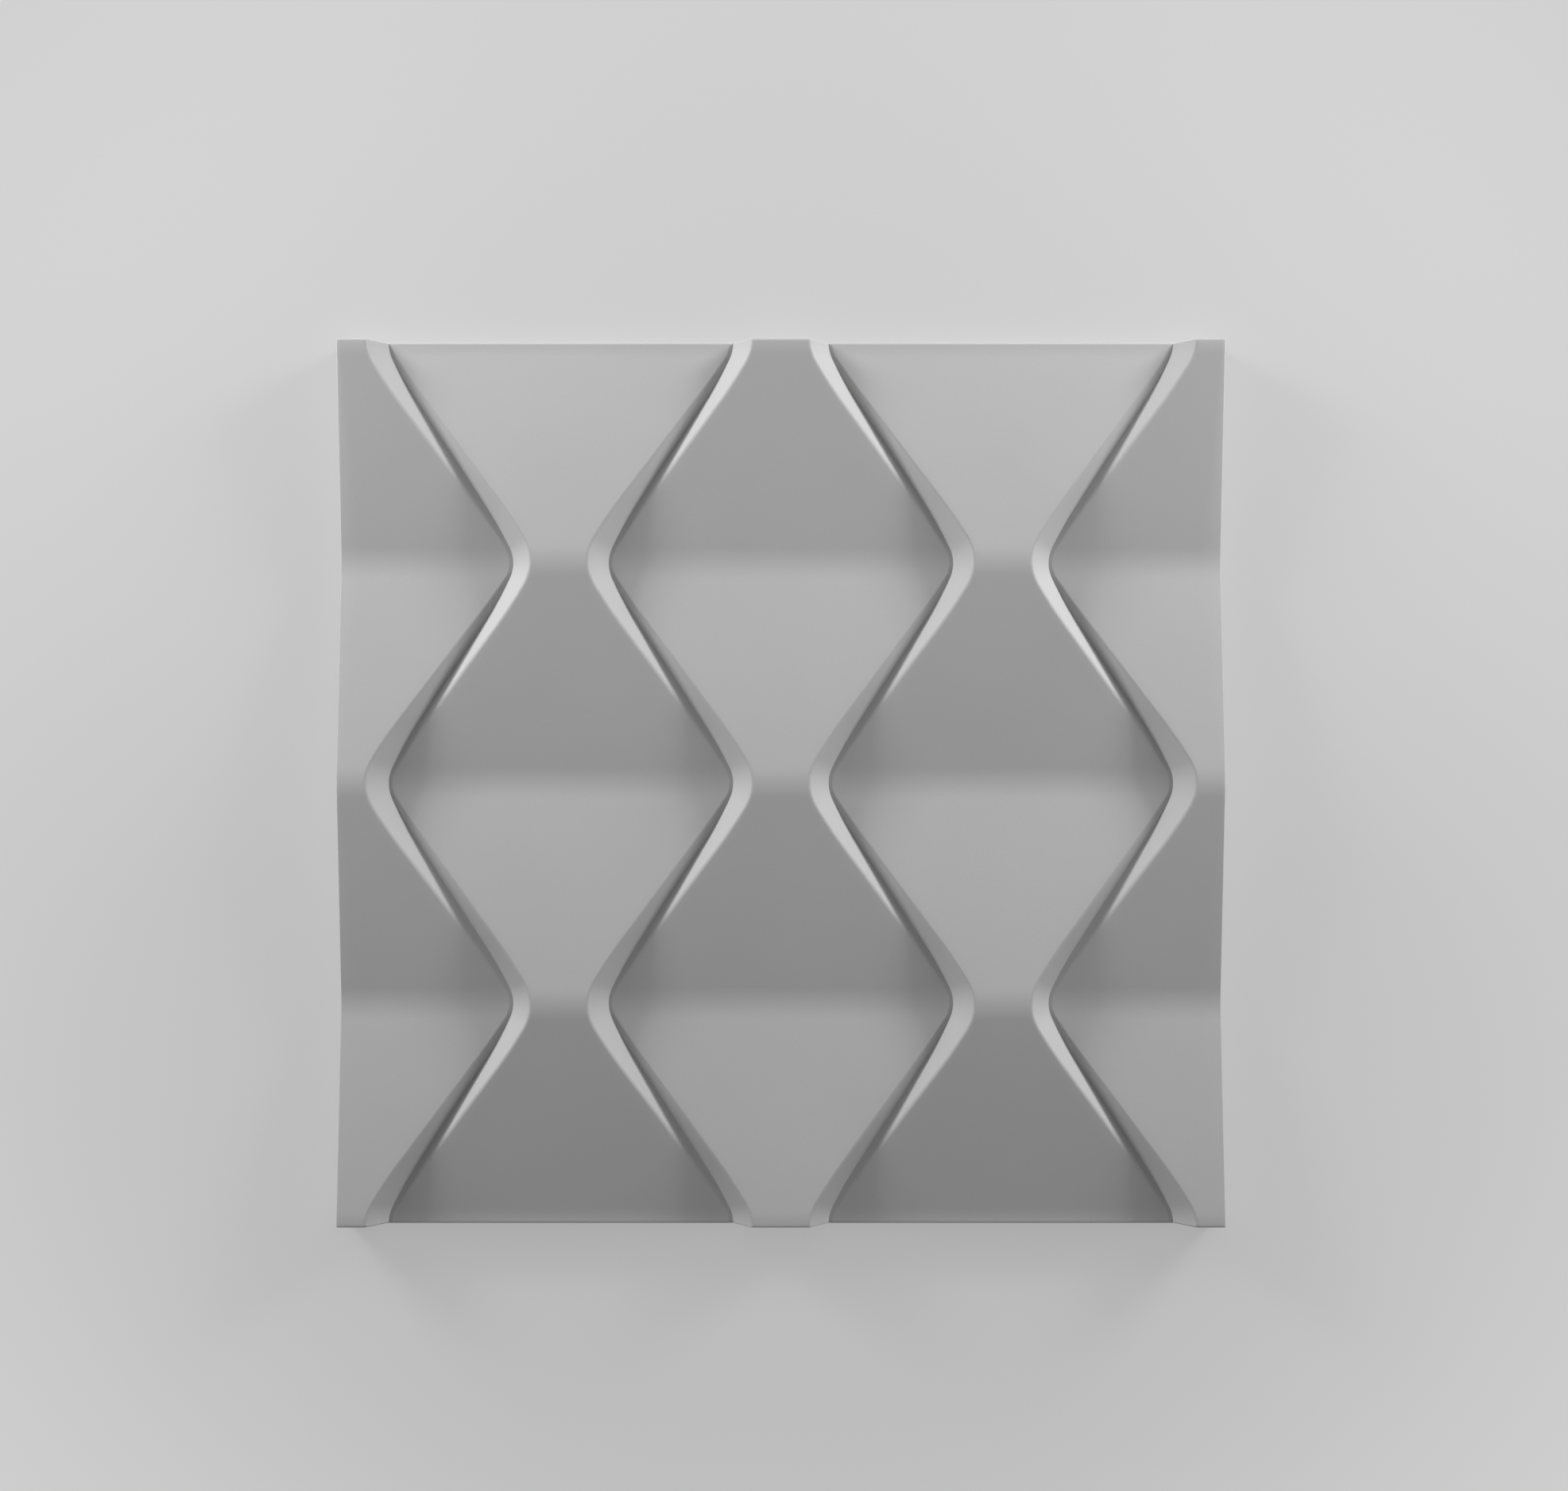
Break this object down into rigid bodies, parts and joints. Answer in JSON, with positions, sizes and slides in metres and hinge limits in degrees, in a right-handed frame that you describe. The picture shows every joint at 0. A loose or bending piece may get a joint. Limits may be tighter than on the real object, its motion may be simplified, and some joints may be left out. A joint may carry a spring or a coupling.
{
  "type": "3d wall panel tile",
  "caption": "Square cast wall tile with a flat back and a relief of swelling and narrowing upright ribbons, each with a zigzag folded face, divided by sharp creases.",
  "frame": {"origin": "middle of the flat back, the face that rests on the floor or is glued to the wall", "axes": "+Z out of the relief face; +Y along the ribbons, the picture's upward direction on the wall; +X across the ribbons to the right"},
  "size_m": [0.5, 0.5, 0.0223],
  "materials": {
    "cast_gypsum": "matt light grey cast gypsum, smooth and unpainted"
  },
  "bodies": {
    "root": {"panel_tile": "cast_gypsum"}
  },
  "joints": []
}
